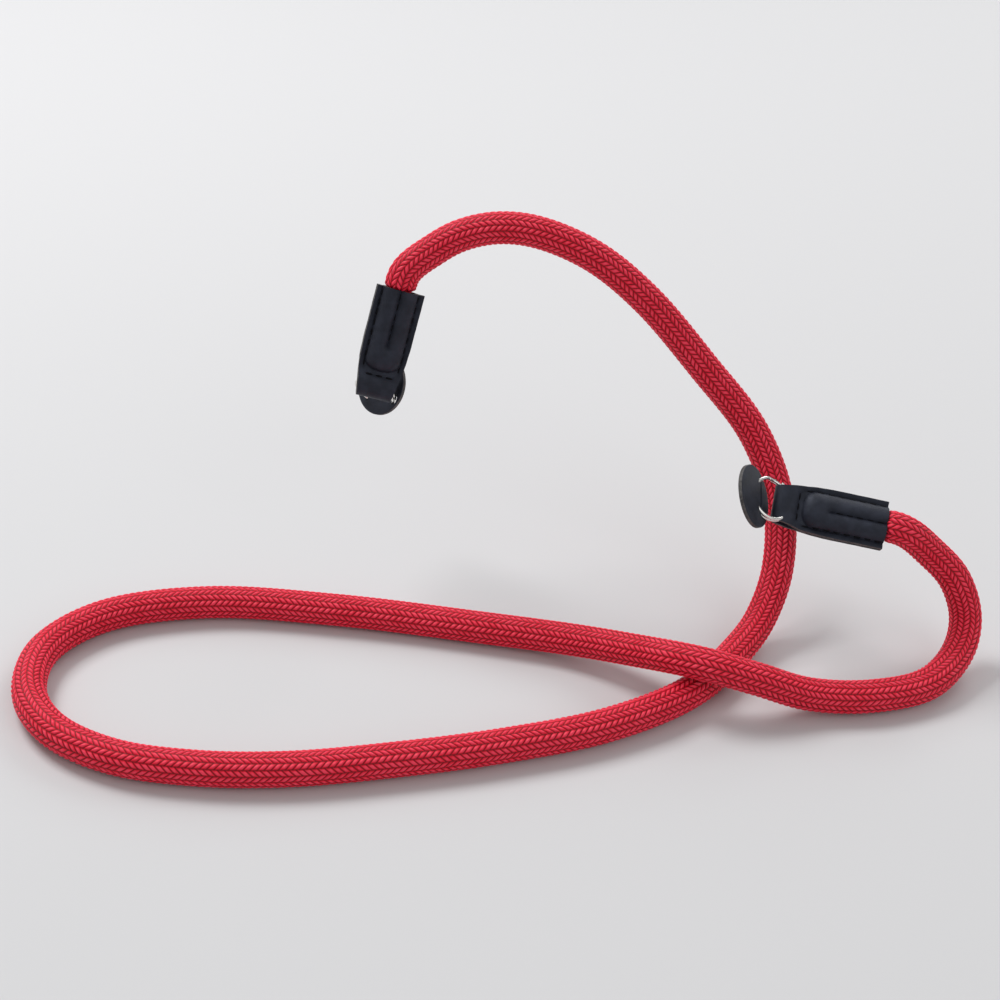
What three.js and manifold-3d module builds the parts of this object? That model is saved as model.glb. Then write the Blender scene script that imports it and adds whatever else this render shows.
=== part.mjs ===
// Camera neck strap: a red braided rope whose two ends are sewn into folded leather tabs.
// Each tab hangs on a split ring, and each ring passes through a round leather guard.
// Millimetres, +Z up, +X from the left end to the right end, +Y away from the front.
// The origin is the free eye of the left ring, where the strap hangs on its lug.
import * as THREE from 'three';
import { mergeVertices } from 'three/addons/utils/BufferGeometryUtils.js';
import Module from 'manifold-3d';

const wasm = await Module();
wasm.setup();

// Rope
const ropeDiameter = 11;
const ropeSides = 12;
const ropeSteps = 80;
const ropeEndWidth = 8.6; // pressed flat between the two leather layers
const ropeEndThickness = 6.4;
const ropeEndLength = 25;
const ropeLead = 6; // straight out of each tab

// Leather end tabs: one strip folded round the ring and sewn round the rope's end
const leatherThickness = 1.5;
const tabLength = 38; // from the fold to the mouth
const tabMouthWidth = 16.4;
const tabFoldWidth = 11.4;
const eyeHeight = 5; // room for the ring in the fold, along the tab
const eyeDepth = 3.4; // and across its faces
const forkLength = 5; // the layers close up over this length past the eye
const seamDepth = 1.1; // the middle seam draws the leather in
const seamWidth = 1.6;
const seamLength = 19;

// Split rings: one wire wound twice
const ringOuterDiameter = 15.6;
const wireDiameter = 1.2;
const coilPitch = 1.3;
const coilJog = 0.6; // radians over which the wire steps to its second turn
const wireSides = 8;
const ringSteps = 64;

// Round leather guards
const guardDiameter = 21;
const guardThickness = 1.5;
const guardSlitWidth = 0.8;

// Clearances
const fitGap = 0.3; // between pieces that touch
const wireGap = 0.35; // round the ring's wire in leather

// Places and directions of the two ends
const leftEnd = {
  lug: [0, 0, 0],
  lugDirection: [0.594, 0.3, -0.746], // from the ring's middle to its free eye
  ringNormal: [-0.233, -0.824, -0.517],
  eyeDirection: [0.226, -0.541, 0.81], // from the ring's middle to the tab's fold
  tabAxis: [0.104, 0.406, 0.908], // from the fold to the rope
  tabAcross: [0.928, 0.288, -0.235],
  guardNormal: [-0.456, -0.771, 0.445],
  guardSeat: 0.525, // share of the ring's radius between its middle and the guard
  guardShift: [1.1, -4.6], // guard's middle from the ring's, along and across its slit
};
const rightEnd = {
  lug: [132.7, -0.6, -3.3],
  lugDirection: [-0.5, 0.566, 0.656],
  ringNormal: [0.524, -0.406, 0.749],
  eyeDirection: [0.848, 0.339, -0.409],
  tabAxis: [0.976, 0.179, -0.127],
  tabAcross: [0.041, -0.716, -0.696],
  guardNormal: [0.885, -0.105, 0.453],
  guardSeat: 0.653,
  guardShift: [-1.6, 3.7],
};

// The rope's way between the tabs' mouths, chosen by hand: up over an arch behind the left tab,
// down to the floor, round one open loop, over itself, and up into the right tab
const ropeRoute = [
  [10.4, 16.0, 52.1],
  [18.4, 19.4, 57.2],
  [29.8, 22.6, 60.6],
  [42.9, 25.6, 60.2],
  [62.0, 29.2, 53.4],
  [81.0, 31.6, 40.0],
  [103.5, 32.1, 18.2],
  [124.0, 29.9, -2.3],
  [136.5, 20.6, -21.4],
  [141.0, 5.0, -39.0],
  [138.8, -9.5, -50.8],
  [133.2, -27.0, -54.7],
  [122.8, -52.1, -55.0],
  [101.3, -77.2, -55.0],
  [72.6, -98.2, -55.0],
  [43.5, -115.5, -55.0],
  [14.2, -130.5, -55.0],
  [-12.0, -139.2, -55.0],
  [-37.0, -142.4, -55.0],
  [-59.2, -137.0, -55.0],
  [-74.3, -123.0, -55.0],
  [-79.8, -101.4, -55.0],
  [-70.3, -79.3, -55.0],
  [-42.0, -60.4, -55.0],
  [0.7, -49.4, -54.9],
  [50.0, -42.2, -54.7],
  [81.4, -40.3, -53.1],
  [104.2, -45.7, -47.9],
  [117.3, -50.2, -44.1],
  [128.0, -51.4, -43.4],
  [143.0, -48.5, -46.9],
  [160.0, -42.2, -53.2],
  [180.0, -34.0, -54.7],
  [197.2, -20.3, -54.8],
  [205.4, -2.6, -51.2],
  [205.4, 7.0, -43.6],
  [199.4, 10.6, -32.6],
  [189.5, 9.9, -23.4],
];

// Shares of the tab's length from its fold, with the share of the mouth's width kept there
const tabOutline = [
  { at: 0.12, width: 0.78 },
  { at: 0.24, width: 0.9 },
  { at: 0.36, width: 0.97 },
  { at: 0.5, width: 1 },
  { at: 1, width: 1 },
];

const ringRadius = (ringOuterDiameter - wireDiameter) / 2; // to the middle of the wire
const ringInnerRadius = ringRadius - wireDiameter / 2;
const lugRadius = ringInnerRadius - wireDiameter; // middle of the free eye
const ringAxialSize = coilPitch + wireDiameter;
const eyeToFold = eyeHeight - wireDiameter / 2 - wireGap + leatherThickness;
const eyeToMouth = tabLength - eyeToFold;
const flangeThickness = 2 * leatherThickness;
const bulgeWidth = ropeEndWidth + 2 * leatherThickness;
const bulgeThickness = ropeEndThickness + 2 * leatherThickness;
const foldThickness = eyeDepth + 2 * leatherThickness;

function vector(values) {
  return new THREE.Vector3(...values);
}

// Turns and places a piece: its Z along one direction, its X as near as can be to another
function frame(origin, zDirection, xDirection) {
  const z = vector(zDirection).normalize();
  const x = vector(xDirection);
  x.addScaledVector(z, -x.dot(z)).normalize();
  const y = new THREE.Vector3().crossVectors(z, x);
  return new THREE.Matrix4().makeBasis(x, y, z).setPosition(origin);
}

function solid(geometry) {
  const bare = geometry.index ? geometry.toNonIndexed() : geometry.clone();
  bare.deleteAttribute('normal');
  bare.deleteAttribute('uv');
  const merged = mergeVertices(bare, 1e-4);
  return new wasm.Manifold(new wasm.Mesh({
    numProp: 3,
    vertProperties: new Float32Array(merged.attributes.position.array),
    triVerts: new Uint32Array(merged.index.array),
  }));
}

function geometryOf(manifold) {
  const mesh = manifold.getMesh();
  const geometry = new THREE.BufferGeometry();
  geometry.setAttribute('position', new THREE.BufferAttribute(new Float32Array(mesh.vertProperties), 3));
  geometry.setIndex(new THREE.BufferAttribute(new Uint32Array(mesh.triVerts), 1));
  geometry.computeVertexNormals();
  return geometry;
}

// An outline in X and Y, extruded along Z about the origin
function plate(shape, thickness, curveSegments = 24) {
  const geometry = new THREE.ExtrudeGeometry(shape, { depth: thickness, bevelEnabled: false, curveSegments });
  return geometry.translate(0, 0, -thickness / 2);
}

// An oval rod along Z from one height to another
function ovalRod(width, thickness, from, to, sides = 28) {
  const geometry = new THREE.CylinderGeometry(0.5, 0.5, to - from, sides);
  geometry.rotateX(Math.PI / 2).scale(width, thickness, 1);
  return geometry.translate(0, 0, (from + to) / 2);
}

function ovalEnd(width, thickness, height, at) {
  const geometry = new THREE.SphereGeometry(0.5, 28, 14);
  geometry.rotateX(Math.PI / 2).scale(width, thickness, 2 * height);
  return geometry.translate(0, 0, at);
}

// The room that the ring's wire needs, as a square-edged ring about Z
function wireRoom(gap) {
  const inside = ringInnerRadius - gap;
  const outside = ringRadius + wireDiameter / 2 + gap;
  const half = ringAxialSize / 2 + gap;
  const section = [[inside, -half], [outside, -half], [outside, half], [inside, half], [inside, -half]];
  const geometry = new THREE.LatheGeometry(section.map(([r, h]) => new THREE.Vector2(r, h)), 64);
  return geometry.rotateX(Math.PI / 2);
}

// The wire's middle line: two turns about Z, one above the other, with a step between them
class SplitRingPath extends THREE.Curve {
  getPoint(t, target = new THREE.Vector3()) {
    const wireEndGap = 2 * wireDiameter / ringRadius;
    const angle = t * (4 * Math.PI - coilJog - wireEndGap);
    const stepFrom = 2 * Math.PI - coilJog;
    const step = THREE.MathUtils.smoothstep(angle, stepFrom, stepFrom + coilJog);
    const height = coilPitch * (step - 0.5);
    return target.set(ringRadius * Math.cos(angle), ringRadius * Math.sin(angle), height);
  }
}

function splitRingGeometry() {
  const wire = new THREE.Shape();
  wire.absarc(0, 0, wireDiameter / 2, 0, 2 * Math.PI);
  return new THREE.ExtrudeGeometry(wire, {
    curveSegments: wireSides / 2,
    steps: ringSteps,
    extrudePath: new SplitRingPath(),
  });
}

// The strip's outline from the front: round at the fold, widening to the mouth
function tabShape() {
  const side = tabOutline.map(({ at, width }) => [width * tabMouthWidth / 2, at * tabLength - eyeToFold]);
  side.unshift([tabFoldWidth / 2, -eyeToFold]);
  const shape = new THREE.Shape();
  shape.moveTo(...side[0]);
  side.slice(1).forEach(([x, z]) => shape.lineTo(x, z));
  side.reverse().forEach(([x, z]) => shape.lineTo(-x, z));
  shape.closePath();
  return shape;
}

// The folded strip from its edge: a loop round the ring that closes to two flat layers
function stripProfile(halfDepth, bottom, top, close, half) {
  const shape = new THREE.Shape();
  shape.moveTo(half, top);
  shape.lineTo(half, close);
  shape.quadraticCurveTo(halfDepth, close - forkLength / 2, halfDepth, 0);
  shape.lineTo(halfDepth, bottom + halfDepth);
  shape.absarc(0, bottom + halfDepth, halfDepth, 0, -Math.PI, true);
  shape.lineTo(-halfDepth, 0);
  shape.quadraticCurveTo(-halfDepth, close - forkLength / 2, -half, close);
  shape.lineTo(-half, top);
  shape.closePath();
  return shape;
}

// Turns a profile drawn in Y and Z into a solid that runs along X
function acrossTab(shape, width) {
  const geometry = plate(shape, width, 8);
  return geometry.applyMatrix4(new THREE.Matrix4().makeBasis(
    new THREE.Vector3(0, 1, 0), new THREE.Vector3(0, 0, 1), new THREE.Vector3(1, 0, 0)));
}

// Tab: origin at the ring in its fold, Z towards the rope, front face towards -Y
function endTabGeometry(ringInTab) {
  const mouth = eyeToMouth;
  const wideEnough = 2 * tabMouthWidth;
  const front = solid(plate(tabShape(), 2 * bulgeThickness).rotateX(Math.PI / 2));
  const strip = solid(acrossTab(
    stripProfile(foldThickness / 2, -eyeToFold, mouth, forkLength, flangeThickness / 2), wideEnough));
  const bulgeFrom = mouth - ropeEndLength;
  const bulge = solid(ovalRod(bulgeWidth, bulgeThickness, bulgeFrom, mouth))
    .add(solid(ovalEnd(bulgeWidth, bulgeThickness, leatherThickness * 2, bulgeFrom)));
  let body = strip.intersect(front).add(bulge);

  const eyeBottom = leatherThickness - eyeToFold;
  const eye = solid(acrossTab(
    stripProfile(eyeDepth / 2, eyeBottom, forkLength - leatherThickness, forkLength - 2 * leatherThickness,
      fitGap / 2), wideEnough));
  const socket = solid(ovalRod(ropeEndWidth, ropeEndThickness, bulgeFrom, mouth + 1));
  body = body.subtract(eye).subtract(socket).subtract(solid(wireRoom(wireGap)).transform(ringInTab.elements));

  // The middle seam pinches the bulge on both faces
  for (const side of [-1, 1]) {
    const groove = ovalRod(seamWidth, 2 * seamDepth, mouth - seamLength, mouth + 1, 10);
    body = body.subtract(solid(groove.translate(0, side * bulgeThickness / 2, 0)));
  }
  return geometryOf(body);
}

// Guard: a disc about Z with its slit along X, opened where the ring's wire passes
function guardGeometry(slitAcross, slitAlong, ringInGuard) {
  const disc = new THREE.Shape();
  disc.absarc(0, 0, guardDiameter / 2, 0, 2 * Math.PI);
  const slit = new THREE.BoxGeometry(2 * ringRadius * 0.9, guardSlitWidth, 2 * guardThickness);
  slit.translate(slitAlong, slitAcross, 0);
  const body = solid(plate(disc, guardThickness, 40))
    .subtract(solid(slit))
    .subtract(solid(wireRoom(wireGap)).transform(ringInGuard.elements));
  return geometryOf(body);
}

function placed(name, geometry, material, matrix) {
  const mesh = new THREE.Mesh(geometry, material);
  mesh.name = name;
  matrix.decompose(mesh.position, mesh.quaternion, mesh.scale);
  return mesh;
}

const ropeMaterial = new THREE.MeshStandardMaterial({ color: 0xc8141e, roughness: 0.7, metalness: 0 });
const leatherMaterial = new THREE.MeshStandardMaterial({ color: 0x15161c, roughness: 0.45, metalness: 0 });
const nickelMaterial = new THREE.MeshStandardMaterial({ color: 0xd8dadf, roughness: 0.15, metalness: 1 });

// Works out where an end's ring, tab and guard lie
function endPlaces(end) {
  const ringMiddle = vector(end.lug).addScaledVector(vector(end.lugDirection).normalize(), -lugRadius);
  const ringFrame = frame(ringMiddle, end.ringNormal, end.lugDirection);

  const eyeDirection = vector(end.eyeDirection);
  const ringNormal = vector(end.ringNormal).normalize();
  eyeDirection.addScaledVector(ringNormal, -eyeDirection.dot(ringNormal)).normalize();
  const tabOrigin = ringMiddle.clone().addScaledVector(eyeDirection, ringRadius);
  const tabFrame = frame(tabOrigin, end.tabAxis, end.tabAcross);
  const tabAxis = vector(end.tabAxis).normalize();
  const mouth = tabOrigin.clone().addScaledVector(tabAxis, eyeToMouth);

  const guardNormal = vector(end.guardNormal).normalize();
  const towardsLug = guardNormal.clone().addScaledVector(ringNormal, -guardNormal.dot(ringNormal)).normalize().negate();
  const slitDirection = new THREE.Vector3().crossVectors(ringNormal, guardNormal).normalize();
  const slitMiddle = ringMiddle.clone().addScaledVector(towardsLug, end.guardSeat * ringRadius);
  const acrossSlit = new THREE.Vector3().crossVectors(guardNormal, slitDirection);
  const [along, across] = end.guardShift;
  const guardMiddle = slitMiddle.clone().addScaledVector(slitDirection, along).addScaledVector(acrossSlit, across);
  const guardFrame = frame(guardMiddle, guardNormal.toArray(), slitDirection.toArray());
  return { ringFrame, tabFrame, tabAxis, mouth, guardFrame };
}

function buildEnd(side, end, places) {
  const ringInTab = places.tabFrame.clone().invert().multiply(places.ringFrame);
  const ringInGuard = places.guardFrame.clone().invert().multiply(places.ringFrame);
  const [along, across] = end.guardShift;
  const group = new THREE.Group();
  group.add(
    placed(`${side}_split_ring`, splitRingGeometry(), nickelMaterial.clone(), places.ringFrame),
    placed(`${side}_guard`, guardGeometry(-across, -along, ringInGuard), leatherMaterial.clone(), places.guardFrame),
    placed(`${side}_end_tab`, endTabGeometry(ringInTab), leatherMaterial.clone(), places.tabFrame),
  );
  return group;
}

// The rope's flat end inside a tab, from just inside the mouth to the socket's floor
function ropeEnd(places) {
  const gap = 2 * fitGap;
  const from = eyeToMouth - ropeEndLength + fitGap;
  const end = ovalRod(ropeEndWidth - gap, ropeEndThickness - gap, from, eyeToMouth + ropeDiameter / 2, 20);
  return solid(end.applyMatrix4(places.tabFrame));
}

function buildRope(leftPlaces, rightPlaces) {
  const outOf = ({ mouth, tabAxis }, distance) => mouth.clone().addScaledVector(tabAxis, distance);
  const route = new THREE.CatmullRomCurve3([
    outOf(leftPlaces, fitGap),
    outOf(leftPlaces, ropeLead),
    ...ropeRoute.map(vector),
    outOf(rightPlaces, ropeLead),
    outOf(rightPlaces, fitGap),
  ], false, 'centripetal');
  const section = new THREE.Shape();
  section.absarc(0, 0, ropeDiameter / 2, 0, 2 * Math.PI);
  const tube = new THREE.ExtrudeGeometry(section, {
    curveSegments: ropeSides / 2,
    steps: ropeSteps,
    extrudePath: route,
  });
  const body = solid(tube).add(ropeEnd(leftPlaces)).add(ropeEnd(rightPlaces));
  return placed('rope', geometryOf(body), ropeMaterial, new THREE.Matrix4());
}

const leftPlaces = endPlaces(leftEnd);
const rightPlaces = endPlaces(rightEnd);

const strap = new THREE.Group();
strap.add(buildRope(leftPlaces, rightPlaces));
strap.add(buildEnd('left', leftEnd, leftPlaces));
strap.add(buildEnd('right', rightEnd, rightPlaces));

export default strap;
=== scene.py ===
import math
import bmesh
import bpy
from mathutils import Matrix, Vector, noise
from mathutils.bvhtree import BVHTree


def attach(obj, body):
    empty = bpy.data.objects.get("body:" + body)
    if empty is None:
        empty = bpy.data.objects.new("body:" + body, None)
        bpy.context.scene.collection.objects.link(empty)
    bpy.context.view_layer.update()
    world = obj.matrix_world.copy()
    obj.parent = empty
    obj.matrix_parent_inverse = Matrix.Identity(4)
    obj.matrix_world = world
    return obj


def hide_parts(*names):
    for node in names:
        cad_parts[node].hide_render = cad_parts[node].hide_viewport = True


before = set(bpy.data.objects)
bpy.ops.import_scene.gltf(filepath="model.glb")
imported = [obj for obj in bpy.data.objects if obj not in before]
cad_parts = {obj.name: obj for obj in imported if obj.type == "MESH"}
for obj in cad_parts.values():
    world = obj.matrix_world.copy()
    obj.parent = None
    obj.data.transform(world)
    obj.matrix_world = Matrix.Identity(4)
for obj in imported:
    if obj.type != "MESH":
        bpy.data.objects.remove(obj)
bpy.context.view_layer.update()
print("frame loaded:", ", ".join(sorted(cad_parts)))

mm = 0.001


# Small helpers

def lerp(a, b, share):
    return a + (b - a) * share


def smooth(low, high, value):
    share = min(1.0, max(0.0, (value - low) / (high - low)))
    return share * share * (3 - 2 * share)


def axes(origin, zAxis, xAxis):
    z = Vector(zAxis).normalized()
    x = Vector(xAxis)
    x = (x - z * x.dot(z)).normalized()
    y = z.cross(x)
    turned = Matrix((x, y, z)).transposed().to_4x4()
    turned.translation = Vector(origin)
    return turned


def deselectAll():
    if bpy.context.object and bpy.context.object.mode != "OBJECT":
        bpy.ops.object.mode_set(mode="OBJECT")
    bpy.ops.object.select_all(action="DESELECT")


def pick(obj):
    deselectAll()
    obj.select_set(True)
    bpy.context.view_layer.objects.active = obj


def addModifier(obj, kind, **values):
    pick(obj)
    modifier = obj.modifiers.new(kind.title(), kind)
    for name, value in values.items():
        setattr(modifier, name, value)
    bpy.ops.object.modifier_apply(modifier=modifier.name)


def intoPlace(obj, place):
    # the mesh is moved, so that the object itself stays at the origin
    obj.data.transform(place)
    obj.data.update()


def joined(objects, name):
    deselectAll()
    for obj in objects:
        obj.select_set(True)
    bpy.context.view_layer.objects.active = objects[0]
    if len(objects) > 1:
        bpy.ops.object.join()
    result = bpy.context.object
    result.name = name
    result.data.name = name
    return result


def meshPiece(name, points, faces):
    mesh = bpy.data.meshes.new(name)
    mesh.from_pydata([tuple(p) for p in points], [], faces)
    mesh.update()
    obj = bpy.data.objects.new(name, mesh)
    bpy.context.scene.collection.objects.link(obj)
    return obj


# Shader expressions

class Wire:
    def __init__(self, tree, socket=None):
        self.tree = tree
        self.socket = socket

    def add(self, kind, settings=None, sockets=None, out=0):
        node = self.tree.nodes.new(kind)
        for name, value in (settings or {}).items():
            if name == "stops":
                self.setStops(node.color_ramp.elements, value)
            else:
                setattr(node, name, value)
        for name, value in (sockets or {}).items():
            if isinstance(value, Wire):
                self.tree.links.new(value.socket, node.inputs[name])
            else:
                node.inputs[name].default_value = value
        return Wire(self.tree, node.outputs[out])

    def setStops(self, elements, stops):
        while len(elements) < len(stops):
            elements.new(0.5)
        for element, (place, colour) in zip(elements, stops):
            element.position = place
            element.color = (*colour, 1)

    def maths(self, operation, *values):
        return self.add("ShaderNodeMath", {"operation": operation}, dict(enumerate(values)))

    def __add__(self, other):
        return self.maths("ADD", self, other)

    def __radd__(self, other):
        return self.maths("ADD", other, self)

    def __sub__(self, other):
        return self.maths("SUBTRACT", self, other)

    def __rsub__(self, other):
        return self.maths("SUBTRACT", other, self)

    def __mul__(self, other):
        return self.maths("MULTIPLY", self, other)

    def __rmul__(self, other):
        return self.maths("MULTIPLY", other, self)

    def __mod__(self, other):
        return self.maths("FLOORED_MODULO", self, other)

    def __abs__(self):
        return self.maths("ABSOLUTE", self)

    def floor(self):
        return self.maths("FLOOR", self)

    def between(self, low, high):
        return self.add("ShaderNodeMapRange", {"interpolation_type": "SMOOTHSTEP"},
                        {"Value": self, "From Min": low, "From Max": high})

    def mixed(self, first, second):
        return self.add("ShaderNodeMix", {"data_type": "RGBA"}, {0: self, 6: first, 7: second}, out=2)

    def noise(self, scale, detail=3.0, roughness=0.5, place=None):
        where = place or self.objectPlace()
        return self.add("ShaderNodeTexNoise", {}, {"Vector": where, "Scale": scale, "Detail": detail,
                                                    "Roughness": roughness})

    def objectPlace(self):
        return self.add("ShaderNodeTexCoord", out=3)

    def bump(self, height, distance, strength=1.0, onto=None):
        sockets = {"Height": height, "Distance": distance, "Strength": strength}
        if onto:
            sockets["Normal"] = onto
        return self.add("ShaderNodeBump", {}, sockets)


def newMaterial(name, **fixed):
    material = bpy.data.materials.new(name)
    material.use_nodes = True
    shader = material.node_tree.nodes["Principled BSDF"]
    for socket, value in fixed.items():
        shader.inputs[socket.replace("_", " ")].default_value = value
    return material, Wire(material.node_tree), shader.inputs


def feed(inputs, **wires):
    for name, wire in wires.items():
        wire.tree.links.new(wire.socket, inputs[name.replace("_", " ")])


# Camera, at the photograph's own angle

cameraSettings = {
    "eye": (163.67, -509.14, 298.82),
    "right": (0.96166645, 0.26743266, 0.06064168),
    "up": (-0.19239734, 0.50043587, 0.84412511),
    "lens": 63.764,
    "sensor": 36,
}


def makeCamera():
    data = bpy.data.cameras.new("camera")
    data.lens = cameraSettings["lens"]
    data.sensor_width = cameraSettings["sensor"]
    data.clip_start = 0.01
    camera = bpy.data.objects.new("camera", data)
    right = Vector(cameraSettings["right"])
    up = Vector(cameraSettings["up"])
    placed = Matrix((right, up, right.cross(up))).transposed().to_4x4()
    placed.translation = Vector(cameraSettings["eye"]) * mm
    camera.matrix_world = placed
    bpy.context.scene.collection.objects.link(camera)
    bpy.context.scene.camera = camera
    print("camera set")


# The two ends: where each ring, tab and guard sits, in millimetres

ends = {
    "left": {
        "lug": (0, 0, 0),
        "lugDirection": (0.594, 0.3, -0.746),
        "ringNormal": (-0.233, -0.824, -0.517),
        "eyeDirection": (0.226, -0.541, 0.81),
        "tabAxis": (0.104, 0.406, 0.908),
        "tabAcross": (0.928, 0.288, -0.235),
        "guardNormal": (-0.456, -0.771, 0.445),
        "guardSeat": 0.525,
        "guardShift": (1.1, -4.6),
    },
    "right": {
        "lug": (132.7, -0.6, -3.3),
        "lugDirection": (-0.5, 0.566, 0.656),
        "ringNormal": (0.524, -0.406, 0.749),
        "eyeDirection": (0.848, 0.339, -0.409),
        "tabAxis": (0.976, 0.179, -0.127),
        "tabAcross": (0.041, -0.716, -0.696),
        "guardNormal": (0.885, -0.105, 0.453),
        "guardSeat": 0.653,
        "guardShift": (-1.6, 3.7),
    },
}
ring = {
    "radius": 7.2,       # to the middle of the wire
    "wire": 1.2,
    "pitch": 1.3,        # between the two turns
    "jog": 0.6,          # radians over which the wire steps to its second turn
    "lugRadius": 5.4,
    "steps": 220,
}
eyeToMouth = 32.45


def endPlaces(end):
    ringNormal = Vector(end["ringNormal"]).normalized()
    ringMiddle = Vector(end["lug"]) - Vector(end["lugDirection"]).normalized() * ring["lugRadius"]
    eyeDirection = Vector(end["eyeDirection"])
    eyeDirection = (eyeDirection - ringNormal * eyeDirection.dot(ringNormal)).normalized()
    tabOrigin = ringMiddle + eyeDirection * ring["radius"]
    tabAxis = Vector(end["tabAxis"]).normalized()

    guardNormal = Vector(end["guardNormal"]).normalized()
    towardsLug = -(guardNormal - ringNormal * guardNormal.dot(ringNormal)).normalized()
    slitDirection = ringNormal.cross(guardNormal).normalized()
    along, across = end["guardShift"]
    guardMiddle = (ringMiddle + towardsLug * end["guardSeat"] * ring["radius"]
                   + slitDirection * along + guardNormal.cross(slitDirection) * across)
    return {
        "ring": axes(ringMiddle, end["ringNormal"], end["lugDirection"]),
        "tab": axes(tabOrigin, end["tabAxis"], end["tabAcross"]),
        "tabAxis": tabAxis,
        "mouth": tabOrigin + tabAxis * eyeToMouth,
        "guard": axes(guardMiddle, guardNormal, slitDirection),
    }


places = {side: endPlaces(end) for side, end in ends.items()}


# Rope: a round braid of sixteen bands of slanted stitches, real relief along its whole length

rope = {
    "diameter": 11,
    "bands": 16,            # stitches slant one way in one band and the other way in the next
    "sidesPerBand": 3,
    "stitchPitch": 2.05,
    "ringsPerStitch": 4,
    "relief": 0.42,
    "stitchProfile": (0.0, 0.72, 1.0, 0.72),
    "bandEdge": 0.12,       # height kept where two bands meet
    "flatHalfWidth": 4.0,   # half sizes of the end that is pressed between the leather layers
    "flatHalfHeight": 2.9,
    "insideTab": 6,         # how far the modelled end reaches into the tab
    "lead": 6,              # straight out of each tab
    "ease": (-0.4, 1.4),    # from flat to round, measured outwards from the mouth
    "samples": 24,          # for each stretch between two route points
}
ropeRoute = [
    (10.4, 16.0, 52.1),
    (18.4, 19.4, 57.2),
    (29.8, 22.6, 60.6),
    (42.9, 25.6, 60.2),
    (62.0, 29.2, 53.4),
    (81.0, 31.6, 40.0),
    (103.5, 32.1, 18.2),
    (124.0, 29.9, -2.3),
    (136.5, 20.6, -21.4),
    (141.0, 5.0, -39.0),
    (138.8, -9.5, -50.8),
    (133.2, -27.0, -54.7),
    (122.8, -52.1, -55.0),
    (101.3, -77.2, -55.0),
    (72.6, -98.2, -55.0),
    (43.5, -115.5, -55.0),
    (14.2, -130.5, -55.0),
    (-12.0, -139.2, -55.0),
    (-37.0, -142.4, -55.0),
    (-59.2, -137.0, -55.0),
    (-74.3, -123.0, -55.0),
    (-79.8, -101.4, -55.0),
    (-70.3, -79.3, -55.0),
    (-42.0, -60.4, -55.0),
    (0.7, -49.4, -54.9),
    (50.0, -42.2, -54.7),
    (81.4, -40.3, -53.1),
    (104.2, -45.7, -47.9),
    (117.3, -50.2, -44.1),
    (128.0, -51.4, -43.4),
    (143.0, -48.5, -46.9),
    (160.0, -42.2, -53.2),
    (180.0, -34.0, -54.7),
    (197.2, -20.3, -54.8),
    (205.4, -2.6, -51.2),
    (205.4, 7.0, -43.6),
    (199.4, 10.6, -32.6),
    (189.5, 9.9, -23.4),
]


def centripetal(points, samples):
    # a centripetal Catmull-Rom curve through the points
    padded = [points[0] * 2 - points[1], *points, points[-1] * 2 - points[-2]]
    line = []
    for a, b, c, d in zip(padded, padded[1:], padded[2:], padded[3:]):
        ta = 0
        tb = ta + (b - a).length ** 0.5
        tc = tb + (c - b).length ** 0.5
        td = tc + (d - c).length ** 0.5
        for step in range(samples):
            t = lerp(tb, tc, step / samples)
            ab = a.lerp(b, (t - ta) / (tb - ta))
            bc = b.lerp(c, (t - tb) / (tc - tb))
            cd = c.lerp(d, (t - tc) / (td - tc))
            abc = ab.lerp(bc, (t - ta) / (tc - ta))
            bcd = bc.lerp(cd, (t - tb) / (td - tb))
            line.append(abc.lerp(bcd, (t - tb) / (tc - tb)))
    line.append(points[-1])
    return line


def evenly(line, spacing):
    lengths = [0.0]
    for a, b in zip(line, line[1:]):
        lengths.append(lengths[-1] + (b - a).length)
    count = round(lengths[-1] / spacing)
    spaced = []
    at = 0
    for i in range(count + 1):
        wanted = lengths[-1] * i / count
        while at < len(line) - 2 and lengths[at + 1] < wanted:
            at += 1
        share = (wanted - lengths[at]) / (lengths[at + 1] - lengths[at])
        spaced.append(line[at].lerp(line[at + 1], share))
    return spaced, lengths[-1]


def ropeCentreline():
    left = places["left"]
    right = places["right"]
    points = [
        left["mouth"] - left["tabAxis"] * rope["insideTab"],
        left["mouth"] + left["tabAxis"] * rope["lead"],
        *[Vector(point) for point in ropeRoute],
        right["mouth"] + right["tabAxis"] * rope["lead"],
        right["mouth"] - right["tabAxis"] * rope["insideTab"],
    ]
    return evenly(centripetal(points, rope["samples"]), rope["stitchPitch"] / rope["ringsPerStitch"])


def carriedFrames(line):
    # the section is carried along the line without spinning, from the left tab's own width
    across = Vector(places["left"]["tab"].col[0][:3])
    frames = []
    for i, point in enumerate(line):
        ahead = line[min(i + 1, len(line) - 1)]
        behind = line[max(i - 1, 0)]
        along = (ahead - behind).normalized()
        across = (across - along * across.dot(along)).normalized()
        frames.append((point, along, across, along.cross(across)))
    # the small twist left over is spread along the rope, so that it meets the right tab flat
    rightAcross = Vector(places["right"]["tab"].col[0][:3])
    point, along, across, other = frames[-1]
    twist = math.atan2(rightAcross.dot(other), rightAcross.dot(across))
    if twist > math.pi / 2:
        twist -= math.pi
    if twist < -math.pi / 2:
        twist += math.pi
    turned = []
    for i, (point, along, across, other) in enumerate(frames):
        angle = twist * i / (len(frames) - 1)
        turned.append((point, along, across * math.cos(angle) + other * math.sin(angle),
                       other * math.cos(angle) - across * math.sin(angle)))
    return turned


def stitchRise(column, row):
    # how far a point of the braid stands out, from 0 in the gaps to 1 on a stitch
    band, within = divmod(column, rope["sidesPerBand"])
    phase = (row + 2 * (band % 2)) % rope["ringsPerStitch"]
    alongStitch = rope["stitchProfile"][phase]
    return alongStitch * (rope["bandEdge"] if within == 0 else 1.0)


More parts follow.
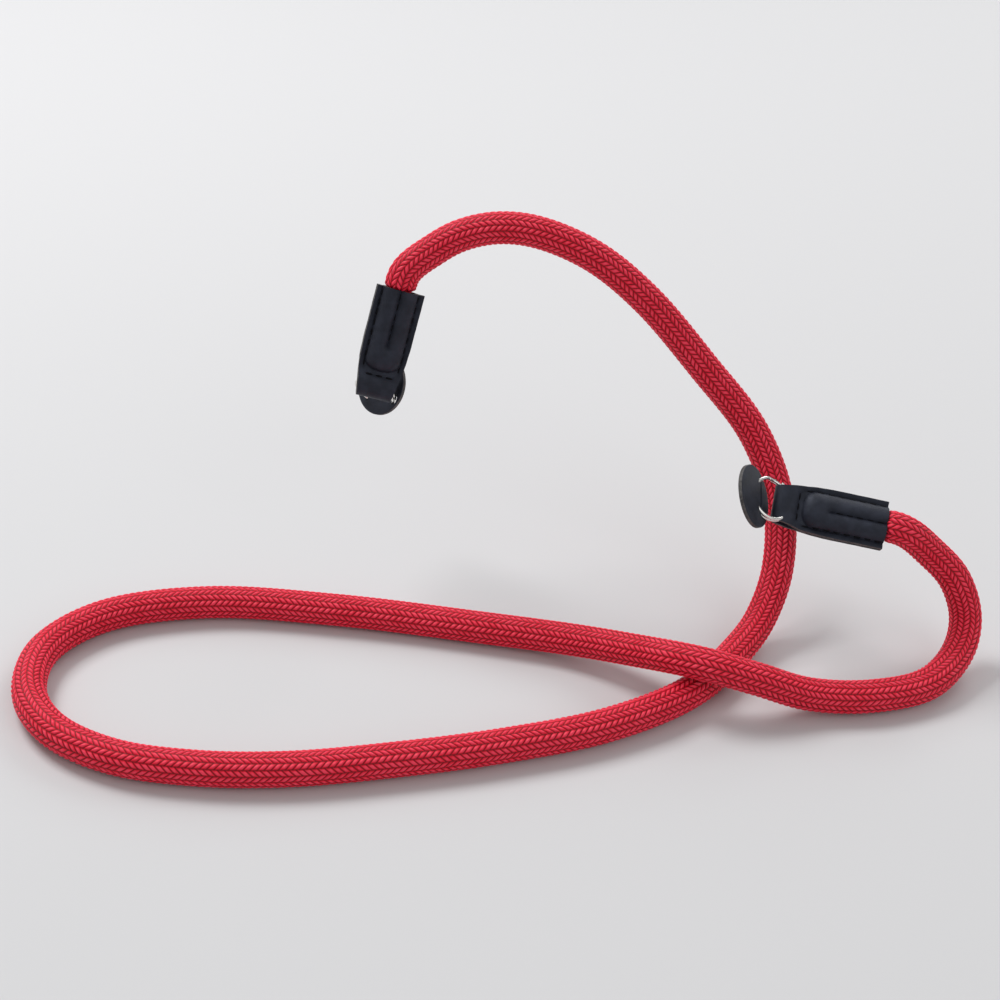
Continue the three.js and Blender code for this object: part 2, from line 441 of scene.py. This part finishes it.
def ropeSection(angle, outside):
    # round in the open and an oval where it is pressed, with the distance out of the tab in mm
    share = smooth(*rope["ease"], outside)
    radius = rope["diameter"] / 2
    return (lerp(rope["flatHalfWidth"], radius, share) * math.cos(angle),
            lerp(rope["flatHalfHeight"], radius, share) * math.sin(angle))


def makeRope():
    line, length = ropeCentreline()
    frames = carriedFrames(line)
    sides = rope["bands"] * rope["sidesPerBand"]
    spacing = length / (len(line) - 1)
    rows = len(frames) - rope["ringsPerStitch"]     # a row's slanted stitches reach one stitch ahead
    points = []
    for row in range(rows):
        for column in range(sides):
            band, within = divmod(column, rope["sidesPerBand"])
            share = within / rope["sidesPerBand"]
            slant = share if band % 2 == 0 else 1 - share
            place = row + slant * rope["ringsPerStitch"]
            low = min(int(place), len(frames) - 2)
            pairs = zip(frames[low], frames[low + 1])
            point, along, across, other = (a.lerp(b, place - low) for a, b in pairs)
            outside = min(place * spacing, length - place * spacing) - rope["insideTab"]
            x, y = ropeSection(2 * math.pi * column / sides, outside)
            rise = (stitchRise(column, row) - 1) * rope["relief"]
            out = Vector((x, y, 0)).normalized() * rise
            points.append(point + across * (x + out.x) + other * (y + out.y))
    faces = []
    for row in range(rows - 1):
        for column in range(sides):
            beside = (column + 1) % sides
            a = row * sides + column
            b = row * sides + beside
            faces.append((a, b, b + sides, a + sides))
    last = (rows - 1) * sides
    faces.append(tuple(reversed(range(sides))))
    faces.append(tuple(range(last, last + sides)))
    piece = meshPiece("rope_braid", [point * mm for point in points], faces)
    layBraidMap(piece, sides)
    for face in piece.data.polygons:
        face.use_smooth = len(face.vertices) == 4
    piece.data.materials.append(braidMaterial())
    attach(piece, "root")
    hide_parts("rope")
    path = [tuple(point * mm) for point in line]
    tuple(places["left"]["mouth"] * mm)
    length * mm
    print("rope braided,", round(length), "mm of it and", len(faces), "faces")


def layBraidMap(piece, sides):
    # u counts bands round the rope, v counts stitches along it
    layer = piece.data.uv_layers.new(name="braid")
    for face in piece.data.polygons:
        columns = [vertex % sides for vertex in face.vertices]
        wraps = 0 in columns and sides - 1 in columns
        for loop, vertex in zip(face.loop_indices, face.vertices):
            row, column = divmod(vertex, sides)
            band, within = divmod(column, rope["sidesPerBand"])
            share = within / rope["sidesPerBand"]
            slant = share if band % 2 == 0 else 1 - share
            if wraps and column == 0 and len(columns) == 4:
                column = sides
            layer.data[loop].uv = (column / rope["sidesPerBand"], row / rope["ringsPerStitch"] + slant)


def braidMaterial():
    material, wire, inputs = newMaterial(
        "red braided yarn", Roughness=0.5, Sheen_Weight=0.1, Sheen_Roughness=0.3,
        Sheen_Tint=(1.0, 0.2, 0.3, 1), Specular_IOR_Level=0.28)
    uv = wire.add("ShaderNodeUVMap", {"uv_map": "braid"})
    split = wire.add("ShaderNodeSeparateXYZ", {}, {0: uv})
    v = Wire(wire.tree, split.socket.node.outputs[1])
    band = split.floor()
    odd = band % 2
    within = split - band
    slant = within + odd * (1 - 2 * within)
    stitch = v - slant + 0.5 * odd
    across = stitch - stitch.floor()          # 0.5 on the crest of a stitch
    crest = 1 - abs(2 * across - 1)
    middle = 1 - abs(2 * within - 1)          # 0 where two bands meet
    # painted shade: the colour is darkened in the gaps between stitches and most where two bands meet
    paintedGapShade = crest.between(0.0, 0.42) * middle.between(-0.16, 0.5)
    # painted highlight: the colour is lightened on the crest of each stitch
    paintedCrestHighlight = crest.between(0.35, 1.0) * middle.between(0.25, 1.0)
    number = wire.add("ShaderNodeCombineXYZ", {}, {0: band, 1: stitch.floor()})
    chance = wire.add("ShaderNodeTexWhiteNoise", {"noise_dimensions": "2D"}, {"Vector": number})
    blotch = wire.noise(160, detail=2.0)
    # the tone is partly painted light, the gap shade and crest highlight, and partly the yarn's own random
    # stitch and mottle variation
    paintedLightAndTone = (paintedGapShade * (0.78 + 0.12 * chance) + 0.22 * paintedCrestHighlight) * (0.84 + 0.36 * blotch)
    # the ramp runs from painted shade, a dark red, through the yarn's red to a painted pinkish highlight
    colour = paintedLightAndTone.add("ShaderNodeValToRGB", {"stops": [
        (0.0, (0.1, 0.0, 0.004)), (0.35, (0.46, 0.0005, 0.012)), (0.75, (0.82, 0.004, 0.03)),
        (1.0, (0.97, 0.055, 0.11))]}, {0: paintedLightAndTone})
    hairs = wire.add("ShaderNodeCombineXYZ", {}, {0: across * 16, 1: within * 1.5, 2: chance * 40})
    fibre = wire.noise(1.0, detail=2.0, place=hairs)
    height = crest.between(0.0, 0.9) * middle.between(-0.1, 0.9) + 0.36 * fibre
    normal = wire.bump(height, 0.0005, 0.55)
    feed(inputs, Base_Color=colour, Normal=normal)
    return material


# Leather end tabs: one strip with its grain outside, folded round the ring and sewn round the rope

tab = {
    "thickness": 1.5,
    "layerGap": 0.1,        # between the two layers at the sewn sides
    "mouth": eyeToMouth,    # heights are along the tab, from the ring in its fold
    "foldTip": -5.55,
    "foldThickness": 6.4,
    "forkTop": 5.2,         # the layers close up below this height
    "halfWidths": [(-5.55, 5.75), (-1, 6.45), (3.6, 7.4), (8.1, 7.95), (13.5, 8.2), (32.45, 8.2)],
    "ropeHalfWidth": 5.75,  # of the bulge that the rope's end makes, to its foot
    "ropeHalfHeight": 4.7,
    "bulgeFrom": 9.0,
    "bulgeEnd": 4.4,        # length of the bulge's round end
    "seamDepth": 1.35,
    "seamHalfWidth": 1.1,
    "seamFrom": (10.8, 13.5),
    "sideRow": 6.05,        # the side stitches, or nearer where the tab is narrow
    "sideRowInset": 1.55,
    "sideRowFrom": (3.4, 5.2),
    "grooveDepth": 0.5,
    "grooveHalfWidth": 0.62,
    "endRow": 2.6,          # the row across the tab, near its fold
    "endRowReach": (4.6, 5.4),
    "columns": 44,
    "rows": 156,
    "wrinkle": 0.09,
    "flare": 0.28,          # the two cut edges part a little
    "flareFrom": (5, 8),
    "flareWidth": 1.3,
}
stitch = {
    "length": 2.7,
    "radius": 0.42,
    "pitch": 3.5,
    "sunk": 0.1,
    "dive": 0.4,            # how deep its two ends go
    "sideCount": 8,
    "sideFrom": 1.9,        # from the mouth
    "seamCount": 5,
    "seamFrom": 2.2,
    "endCount": 3,
}


def tabHalfWidth(height):
    table = tab["halfWidths"]
    for (low, first), (high, second) in zip(table, table[1:]):
        if height <= high:
            return lerp(first, second, max(0.0, height - low) / (high - low))
    return table[-1][1]


def sideRowAt(height):
    return min(tab["sideRow"], tabHalfWidth(height) - tab["sideRowInset"])


def dent(distance, halfWidth):
    return math.exp(-(distance / halfWidth) ** 2)


def tabRise(x, height):
    # the middle of the leather above the tab's middle plane, on either face
    half = (tab["thickness"] + tab["layerGap"]) / 2
    open_ = (tab["foldThickness"] - tab["thickness"]) / 2
    rise = lerp(open_, half, smooth(-0.4, tab["forkTop"], height))
    end = max(0.0, (tab["bulgeFrom"] - height) / tab["bulgeEnd"])
    reach = abs(x / tab["ropeHalfWidth"]) ** 2.5 + end ** 2.2
    bulge = max(0.0, 1 - reach) ** 0.6
    rise += (tab["ropeHalfHeight"] - tab["thickness"] / 2 - half) * bulge
    seam = smooth(*tab["seamFrom"], height)
    rise -= tab["seamDepth"] * seam * dent(x, tab["seamHalfWidth"])
    sewn = smooth(*tab["sideRowFrom"], height)
    rise -= tab["grooveDepth"] * sewn * dent(abs(x) - sideRowAt(height), tab["grooveHalfWidth"])
    edge = tabHalfWidth(height)
    flare = smooth(*tab["flareFrom"], height) * smooth(edge - tab["flareWidth"], edge, abs(x))
    rise += tab["flare"] * flare
    across = 1 - smooth(*tab["endRowReach"], abs(x))
    rise -= tab["grooveDepth"] * across * dent(height - tab["endRow"], tab["grooveHalfWidth"])
    return rise


def tabPoint(across, along, seed):
    foldRadius = (tab["foldThickness"] - tab["thickness"]) / 2
    foldMiddle = tab["foldTip"] + tab["foldThickness"] / 2
    straight = tab["mouth"] - foldMiddle
    arc = math.pi * foldRadius
    if along < straight or along > straight + arc:
        face = -1 if along < straight else 1
        height = tab["mouth"] - along if face < 0 else foldMiddle + along - straight - arc
        x = across * tabHalfWidth(height)
        y = face * tabRise(x, height)
    else:
        angle = (along - straight) / foldRadius
        height = foldMiddle - foldRadius * math.sin(angle)
        x = across * tabHalfWidth(height)
        y = -foldRadius * math.cos(angle)
    point = Vector((x, y, height))
    point.y += tab["wrinkle"] * noise.noise(point * 0.33 + Vector((seed, 0, 0))) * (1 if y > 0 else -1)
    return point


def tabLength():
    foldRadius = (tab["foldThickness"] - tab["thickness"]) / 2
    foldMiddle = tab["foldTip"] + tab["foldThickness"] / 2
    return 2 * (tab["mouth"] - foldMiddle) + math.pi * foldRadius


def makeTab(side, leather, rawEdge, seed):
    deselectAll()
    bpy.ops.mesh.primitive_grid_add(x_subdivisions=tab["columns"], y_subdivisions=tab["rows"], size=2)
    piece = bpy.context.object
    piece.name = side + "_tab_leather"
    for vertex in piece.data.vertices:
        across, share = vertex.co.x, (vertex.co.y + 1) / 2
        vertex.co = tabPoint(across, share * tabLength(), seed)
    piece.data.materials.append(leather)
    piece.data.materials.append(rawEdge)
    addModifier(piece, "SOLIDIFY", thickness=tab["thickness"], offset=0, use_even_offset=True,
                material_offset_rim=1)
    addModifier(piece, "BEVEL", width=0.22, segments=2, limit_method="ANGLE", angle_limit=math.radians(60))
    addModifier(piece, "SUBSURF", levels=1, render_levels=1)
    pick(piece)
    bpy.ops.object.mode_set(mode="EDIT")
    bpy.ops.mesh.select_all(action="SELECT")
    bpy.ops.mesh.normals_make_consistent(inside=False)
    bpy.ops.object.mode_set(mode="OBJECT")
    bpy.ops.object.shade_smooth()
    surface = BVHTree.FromPolygons([vertex.co for vertex in piece.data.vertices],
                                   [face.vertices for face in piece.data.polygons])
    intoPlace(piece, Matrix.Scale(mm, 4) @ places[side]["tab"])
    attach(piece, "root")
    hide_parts(side + "_end_tab")
    print(side, "tab folded,", len(piece.data.polygons), "faces")
    return surface


def stitchMesh():
    # one stitch along x: a thread whose two ends dive into the leather
    deselectAll()
    bpy.ops.mesh.primitive_uv_sphere_add(segments=12, ring_count=8, radius=stitch["radius"],
                                         rotation=(0, math.pi / 2, 0))
    one = bpy.context.object
    bpy.ops.object.transform_apply(rotation=True)
    half = stitch["length"] / 2 - stitch["radius"]
    bpy.ops.object.mode_set(mode="EDIT")
    for sign in (-1, 1):
        mesh = bmesh.from_edit_mesh(one.data)
        for vertex in mesh.verts:
            vertex.select = sign * vertex.co.x > 1e-4 and abs(vertex.co.x) <= stitch["radius"] * 1.001
        mesh.select_flush(True)
        bmesh.update_edit_mesh(one.data)
        bpy.ops.transform.translate(value=(sign * half, 0, 0))
    bpy.ops.mesh.select_all(action="SELECT")
    bpy.ops.object.mode_set(mode="OBJECT")
    addModifier(one, "SUBSURF", levels=1, render_levels=1)
    for vertex in one.data.vertices:
        vertex.co.z -= stitch["dive"] * (vertex.co.x / (stitch["length"] / 2)) ** 4
    bpy.ops.object.shade_smooth()
    return one


def onTab(surface, x, height, face):
    # the leather's outside at a place on one face
    return surface.ray_cast(Vector((x, 20 * face, height)), Vector((0, -face, 0)))[0]


def stitchPlaces():
    # (x, height) of each stitch and its direction on the face
    rows = []
    for i in range(stitch["sideCount"]):
        height = tab["mouth"] - stitch["sideFrom"] - i * stitch["pitch"]
        for sign in (-1, 1):
            ahead = sign * (sideRowAt(height + 1) - sideRowAt(height - 1)) / 2
            rows.append((sign * sideRowAt(height), height, (ahead, 1)))
    for i in range(stitch["seamCount"]):
        rows.append((0.0, tab["mouth"] - stitch["seamFrom"] - i * stitch["pitch"], (0, 1)))
    for i in range(stitch["endCount"]):
        rows.append(((i - (stitch["endCount"] - 1) / 2) * stitch["pitch"], tab["endRow"], (1, 0)))
    return rows


def makeStitches(side, surface, one, thread):
    copies = []
    for face in (-1, 1):
        for x, height, (dx, dz) in stitchPlaces():
            middle = onTab(surface, x, height, face)
            along = (onTab(surface, x + dx * 0.8, height + dz * 0.8, face)
                     - onTab(surface, x - dx * 0.8, height - dz * 0.8, face)).normalized()
            beside = (onTab(surface, x + dz * 0.4, height + dx * 0.4, face)
                      - onTab(surface, x - dz * 0.4, height - dx * 0.4, face))
            normal = along.cross(beside).normalized()
            if normal.y * face < 0:
                normal = -normal
            if abs(normal.y) < 0.5:
                normal = Vector((0, face, 0))
            copy = one.copy()
            copy.data = one.data.copy()
            bpy.context.scene.collection.objects.link(copy)
            intoPlace(copy, axes(middle - normal * stitch["sunk"], normal, along))
            copies.append(copy)
    piece = joined(copies, side + "_tab_stitches")
    piece.data.materials.append(thread)
    intoPlace(piece, Matrix.Scale(mm, 4) @ places[side]["tab"])
    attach(piece, "root")
    print(side, "tab sewn with", len(copies), "stitches")


# Split rings: one wire wound nearly twice

def makeRing(side, nickel):
    curve = bpy.data.curves.new(side + "_ring_wire", "CURVE")
    curve.dimensions = "3D"
    curve.bevel_depth = ring["wire"] / 2
    curve.bevel_resolution = 4
    curve.use_fill_caps = True
    spline = curve.splines.new("POLY")
    spline.points.add(ring["steps"])
    endGap = 2 * ring["wire"] / ring["radius"]
    stepFrom = 2 * math.pi - ring["jog"]
    for i, point in enumerate(spline.points):
        angle = i / ring["steps"] * (4 * math.pi - ring["jog"] - endGap)
        height = ring["pitch"] * (smooth(stepFrom, stepFrom + ring["jog"], angle) - 0.5)
        point.co = (ring["radius"] * math.cos(angle), ring["radius"] * math.sin(angle), height, 1)
    piece = bpy.data.objects.new(side + "_ring_wire", curve)
    bpy.context.scene.collection.objects.link(piece)
    pick(piece)
    bpy.ops.object.convert(target="MESH")
    piece = bpy.context.object
    addModifier(piece, "WELD", merge_threshold=0.001)
    addModifier(piece, "BEVEL", width=0.12, segments=2, limit_method="ANGLE", angle_limit=math.radians(60))
    pick(piece)
    bpy.ops.object.shade_smooth_by_angle(angle=math.radians(50))
    piece.data.materials.clear()
    piece.data.materials.append(nickel)
    intoPlace(piece, Matrix.Scale(mm, 4) @ places[side]["ring"])
    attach(piece, "root")
    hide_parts(side + "_split_ring")
    print(side, "ring wound")


# Guards: round leather discs with a slit for the ring

guard = {
    "radius": 10.5,
    "thickness": 1.5,
    "slitWidth": 0.8,
    "slitLength": 12.96,
    "wireRoom": 0.35,
    "edge": 0.3,
    "cup": 0.35,        # how far the rim curls back
    "sides": 128,
    "insets": (0.5, 1.4, 2.0, 2.4),
}


def makeGuard(side, leather, rawEdge):
    along, across = ends[side]["guardShift"]
    deselectAll()
    bpy.ops.mesh.primitive_cylinder_add(vertices=guard["sides"], radius=guard["radius"],
                                        depth=guard["thickness"])
    piece = bpy.context.object
    piece.name = side + "_guard_leather"
    piece.data.materials.append(leather)
    piece.data.materials.append(rawEdge)
    for face in piece.data.polygons:
        face.material_index = 0 if abs(face.normal.z) > 0.5 else 1
    bpy.ops.object.mode_set(mode="EDIT")
    bpy.ops.mesh.select_all(action="DESELECT")
    mesh = bmesh.from_edit_mesh(piece.data)
    for face in mesh.faces:
        face.select = abs(face.normal.z) > 0.5
    bmesh.update_edit_mesh(piece.data)
    for step in guard["insets"]:
        bpy.ops.mesh.inset(thickness=step, depth=0)
    bpy.ops.object.mode_set(mode="OBJECT")
    addModifier(piece, "BEVEL", width=guard["edge"], segments=3, limit_method="ANGLE",
                angle_limit=math.radians(60))

    bpy.ops.mesh.primitive_cube_add(size=1, location=(-along, -across, 0))
    slit = bpy.context.object
    slit.scale = (guard["slitLength"], guard["slitWidth"], 4 * guard["thickness"])
    bpy.ops.object.transform_apply(location=True, rotation=True, scale=True)
    cutOut(piece, slit)

    deselectAll()
    bpy.ops.mesh.primitive_torus_add(major_segments=96, minor_segments=20, major_radius=ring["radius"],
                                     minor_radius=ring["wire"] / 2 + guard["wireRoom"])
    room = bpy.context.object
    halfRoom = (ring["pitch"] + ring["wire"]) / 2 + guard["wireRoom"]
    axialShare = halfRoom / (ring["wire"] / 2 + guard["wireRoom"])     # room for both turns of the wire
    room.data.transform(Matrix.Diagonal((1, 1, axialShare, 1)))
    room.data.transform(places[side]["guard"].inverted() @ places[side]["ring"])
    cutOut(piece, room)

    for vertex in piece.data.vertices:
        out = vertex.co.xy.length / guard["radius"]
        vertex.co.z -= guard["cup"] * out ** 3
    pick(piece)
    bpy.ops.object.shade_smooth_by_angle(angle=math.radians(45))
    intoPlace(piece, Matrix.Scale(mm, 4) @ places[side]["guard"])
    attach(piece, "root")
    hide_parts(side + "_guard")
    print(side, "guard cut")


def cutOut(piece, cutter):
    pick(piece)
    modifier = piece.modifiers.new("Cut", "BOOLEAN")
    modifier.operation = "DIFFERENCE"
    modifier.solver = "EXACT"
    modifier.object = cutter
    bpy.ops.object.modifier_apply(modifier=modifier.name)
    bpy.data.objects.remove(cutter)


# Leather, raw edge, thread and nickel

def leatherMaterial():
    material, wire, inputs = newMaterial(
        "black grain leather", Specular_IOR_Level=0.38, Specular_Tint=(0.78, 0.84, 1.0, 1))
    place = wire.objectPlace()
    pores = wire.add("ShaderNodeTexVoronoi", {"feature": "F1"}, {"Vector": place, "Scale": 3200.0})
    creases = wire.add("ShaderNodeTexVoronoi", {"feature": "DISTANCE_TO_EDGE"},
                       {"Vector": place, "Scale": 2000.0})
    mottle = wire.noise(260, detail=4.0, place=place)
    wear = wire.noise(90, detail=2.0, place=place)
    colour = mottle.between(0.3, 0.75).mixed((0.0085, 0.0096, 0.0155, 1), (0.02, 0.0228, 0.035, 1))
    roughness = 0.4 + 0.14 * wear + 0.08 * mottle
    height = 0.7 * creases.between(0.0, 0.14) + 0.35 * pores + 0.8 * mottle
    normal = wire.bump(height, 0.00008, 0.5)
    feed(inputs, Base_Color=colour, Roughness=roughness, Normal=normal)
    return material


def rawEdgeMaterial():
    material, wire, inputs = newMaterial("raw leather edge", Specular_IOR_Level=0.3)
    fibres = wire.noise(1400, detail=4.0, roughness=0.65)
    patches = wire.noise(240, detail=2.0)
    shade = 0.6 * fibres + 0.4 * patches
    colour = shade.between(0.32, 0.7).mixed((0.035, 0.034, 0.036, 1), (0.14, 0.135, 0.132, 1))
    normal = wire.bump(fibres, 0.0002, 0.8)
    feed(inputs, Base_Color=colour, Roughness=0.68 + 0.2 * patches, Normal=normal)
    return material


def threadMaterial():
    material, wire, inputs = newMaterial("waxed black thread", Roughness=0.7, Specular_IOR_Level=0.12)
    strands = wire.noise(2600, detail=2.0)
    # near-black: partly the thread's own black, partly painted shade, darkened so the stitches read as the
    # shaded holes and grooves
    colour = strands.between(0.3, 0.7).mixed((0.0015, 0.0015, 0.0025, 1), (0.005, 0.005, 0.008, 1))
    feed(inputs, Base_Color=colour, Normal=wire.bump(strands, 0.00012, 0.7))
    return material


def nickelMaterial():
    material, wire, inputs = newMaterial("bright nickel wire", Metallic=1.0)
    marks = wire.noise(700, detail=4.0, roughness=0.6)
    cloud = wire.noise(120, detail=2.0)
    colour = cloud.between(0.3, 0.7).mixed((0.72, 0.7, 0.66, 1), (0.83, 0.82, 0.8, 1))
    roughness = 0.1 + 0.16 * marks.between(0.4, 0.8)
    feed(inputs, Base_Color=colour, Roughness=roughness, Normal=wire.bump(marks, 0.00002, 0.3))
    return material


def makeEnds():
    leather = leatherMaterial()
    rawEdge = rawEdgeMaterial()
    thread = threadMaterial()
    nickel = nickelMaterial()
    one = stitchMesh()
    for seed, side in enumerate(ends):
        surface = makeTab(side, leather, rawEdge, 11.0 * seed)
        makeStitches(side, surface, one, thread)
        makeRing(side, nickel)
        makeGuard(side, leather, rawEdge)
    bpy.data.objects.remove(one)


# Floor and light

stageSettings = {
    "floorHeight": -60.6,
    "floorSize": 6000,
    "floorColour": (0.62, 0.62, 0.63),
    "lights": [
        # name, place in mm, size in mm, watts
        ("key", (-905, 400, 1260), 700, 19),
        ("fill", (1175, -800, 1060), 1200, 4.5),
        ("back", (455, 1280, 940), 900, 7),
    ],
    "lightsAim": (65, -40, -20),
    "world": 0.45,
}


def makeStage():
    deselectAll()
    bpy.ops.mesh.primitive_plane_add(size=stageSettings["floorSize"] * mm,
                                     location=(0, 0, stageSettings["floorHeight"] * mm))
    floor = bpy.context.object
    floor.name = "floor"
    material, wire, inputs = newMaterial("pale floor", Roughness=0.7, Specular_IOR_Level=0.25)
    inputs["Base Color"].default_value = (*stageSettings["floorColour"], 1)
    floor.data.materials.append(material)
    for name, place, size, watts in stageSettings["lights"]:
        data = bpy.data.lights.new(name, "AREA")
        data.size = size * mm
        data.energy = watts
        light = bpy.data.objects.new(name, data)
        light.location = Vector(place) * mm
        towards = Vector(stageSettings["lightsAim"]) * mm - light.location
        light.rotation_euler = towards.to_track_quat("-Z", "Y").to_euler()
        bpy.context.scene.collection.objects.link(light)
    world = bpy.data.worlds.new("studio")
    bpy.context.scene.world = world
    world.use_nodes = True
    background = world.node_tree.nodes["Background"]
    background.inputs[0].default_value = (1, 1, 1, 1)
    background.inputs[1].default_value = stageSettings["world"]
    bpy.context.scene.view_settings.view_transform = "Standard"
    print("stage lit")


makeCamera()
makeRope()
makeEnds()
makeStage()
